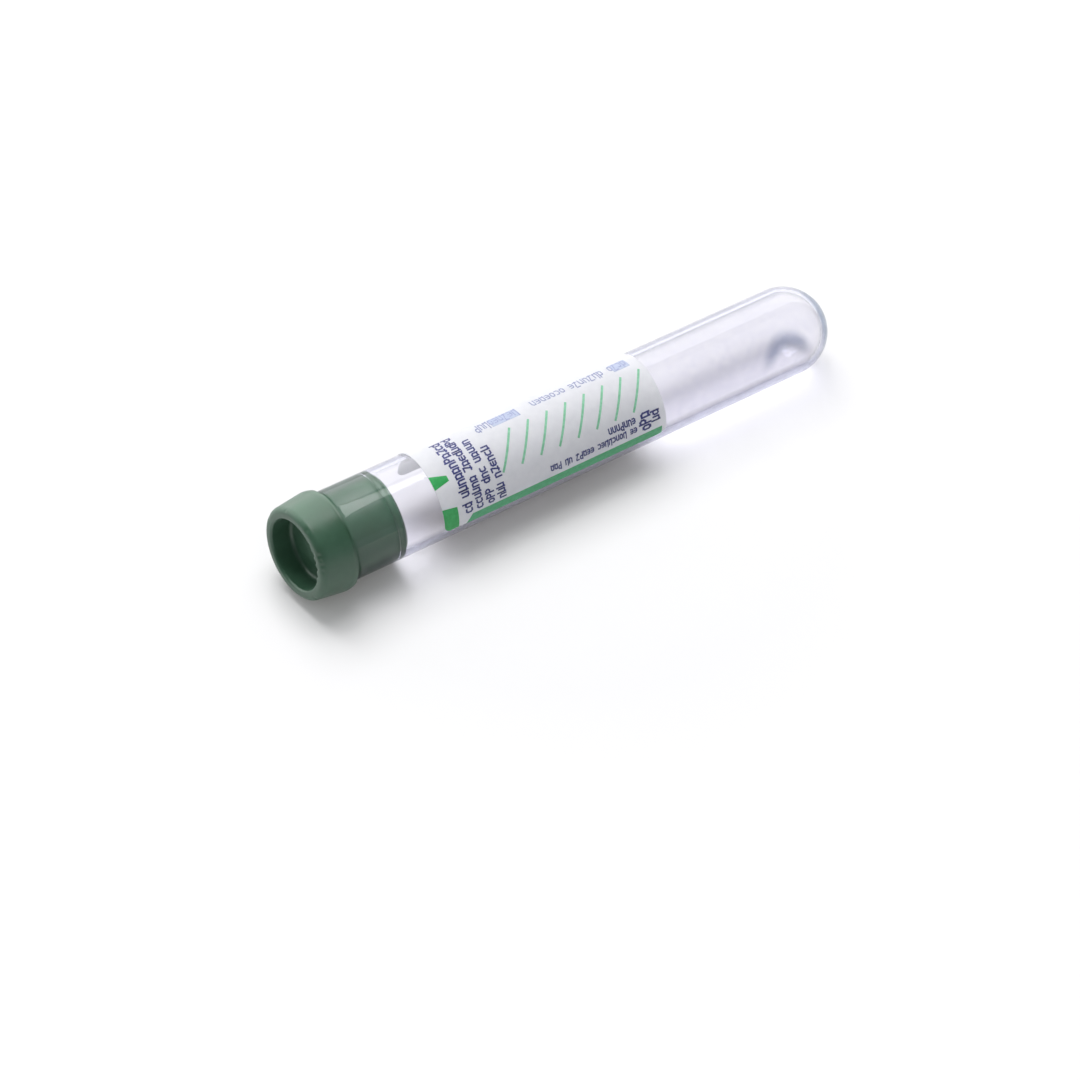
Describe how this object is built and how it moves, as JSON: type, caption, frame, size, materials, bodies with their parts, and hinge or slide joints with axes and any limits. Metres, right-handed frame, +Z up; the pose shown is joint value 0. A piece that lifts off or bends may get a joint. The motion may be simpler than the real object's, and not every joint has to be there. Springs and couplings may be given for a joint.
{
  "type": "blood collection tube",
  "caption": "Round-bottomed glass blood collection tube with a green moulded rubber stopper, a wrapped paper label and a dried anticoagulant film inside.",
  "frame": {"origin": "on the plane that the lying tube rests on, under the middle of its bounding box", "axes": "+Z up; +X along the tube towards its round bottom; the printed front of the label faces -Y and up"},
  "size_m": [0.1096, 0.0178, 0.0178],
  "materials": {
    "glass": "clear drawn tubing, flame-formed bottom and fire-polished lip",
    "stopper_rubber": "compression-moulded, satin",
    "label_paper": "coated white paper, semi-matt",
    "green_ink": "flat printed ink",
    "dark_ink": "flat printed ink",
    "additive": "clear dried spray coating"
  },
  "bodies": {
    "tube": {"glass_tube": "glass", "label": "label_paper", "green_print": "green_ink", "dark_print": "dark_ink", "additive_film": "additive"},
    "stopper": {"stopper": "stopper_rubber"}
  },
  "joints": [
    {"name": "stopper_pull", "type": "slide", "parent": "tube", "child": "stopper", "axis": [-1, 0, 0.0058], "range_m": [0, 0.02]}
  ]
}
